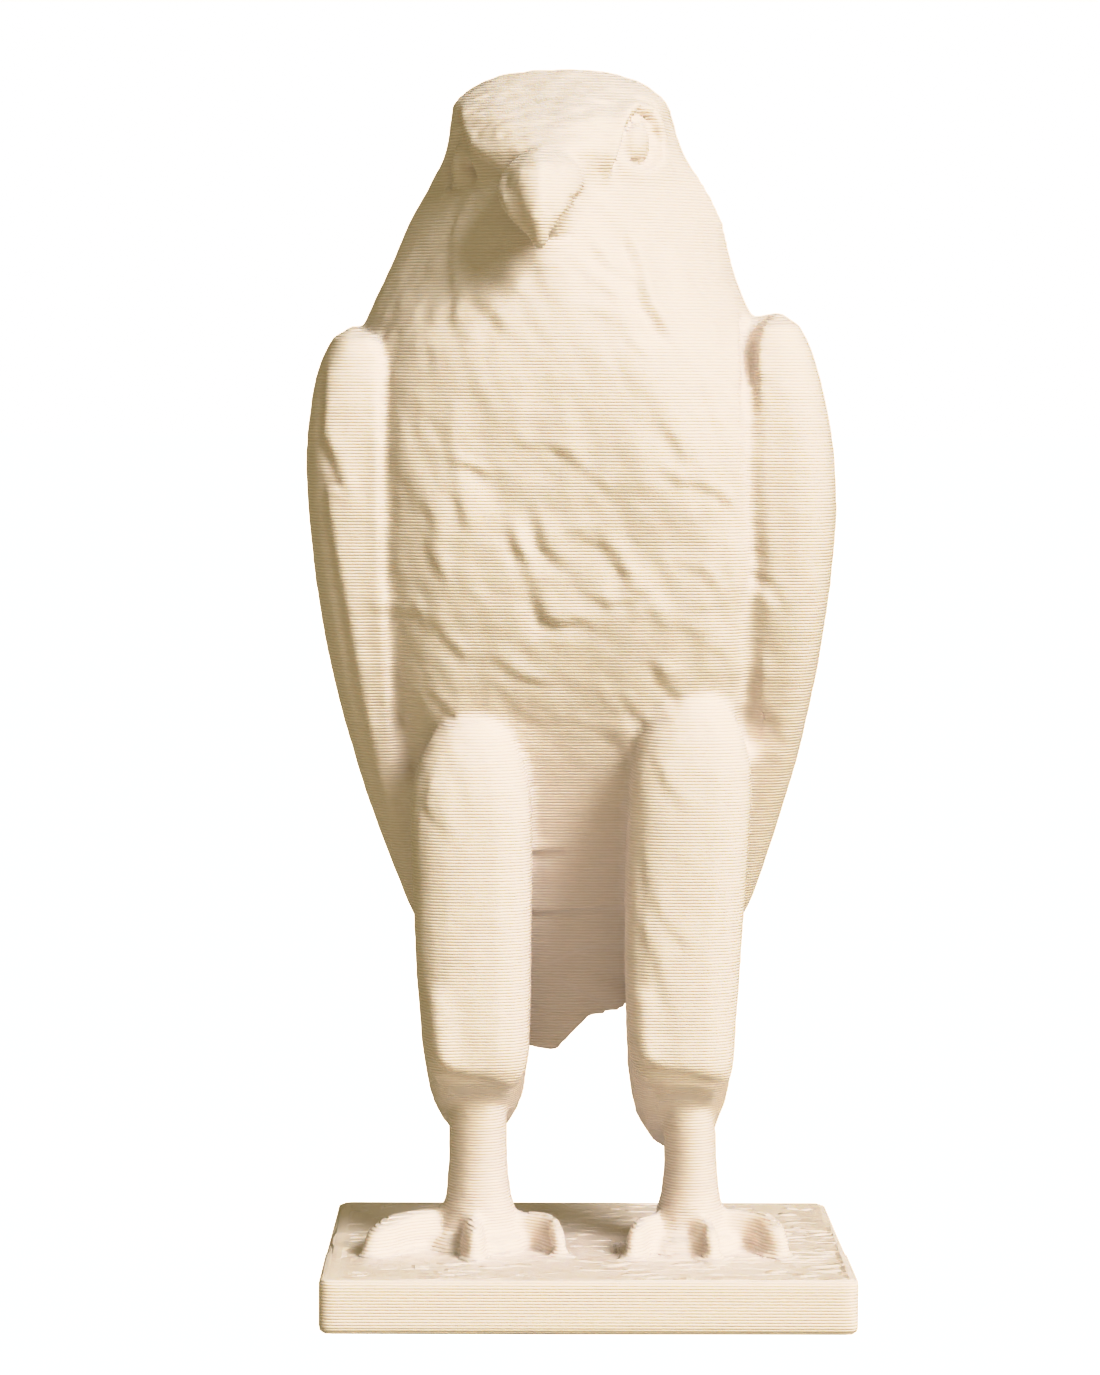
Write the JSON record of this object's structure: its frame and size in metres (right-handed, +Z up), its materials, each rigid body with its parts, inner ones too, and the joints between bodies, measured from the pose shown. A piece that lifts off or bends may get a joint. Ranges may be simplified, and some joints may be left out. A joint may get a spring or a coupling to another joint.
{
  "type": "falcon statuette",
  "caption": "Standing falcon figure with folded wings, hooked beak and a broken tail, on a thin rectangular slab, printed in one piece of cream plastic.",
  "frame": {"origin": "middle of the slab's underside", "axes": "+Z up, -Y the way the bird's breast faces, +X to the right of someone who looks at the breast"},
  "size_m": [0.0362, 0.0335, 0.082],
  "materials": {
    "cream_plastic": "matte to satin, with fine level layer lines all over"
  },
  "bodies": {
    "root": {"falcon_figure": "cream_plastic"}
  },
  "joints": []
}
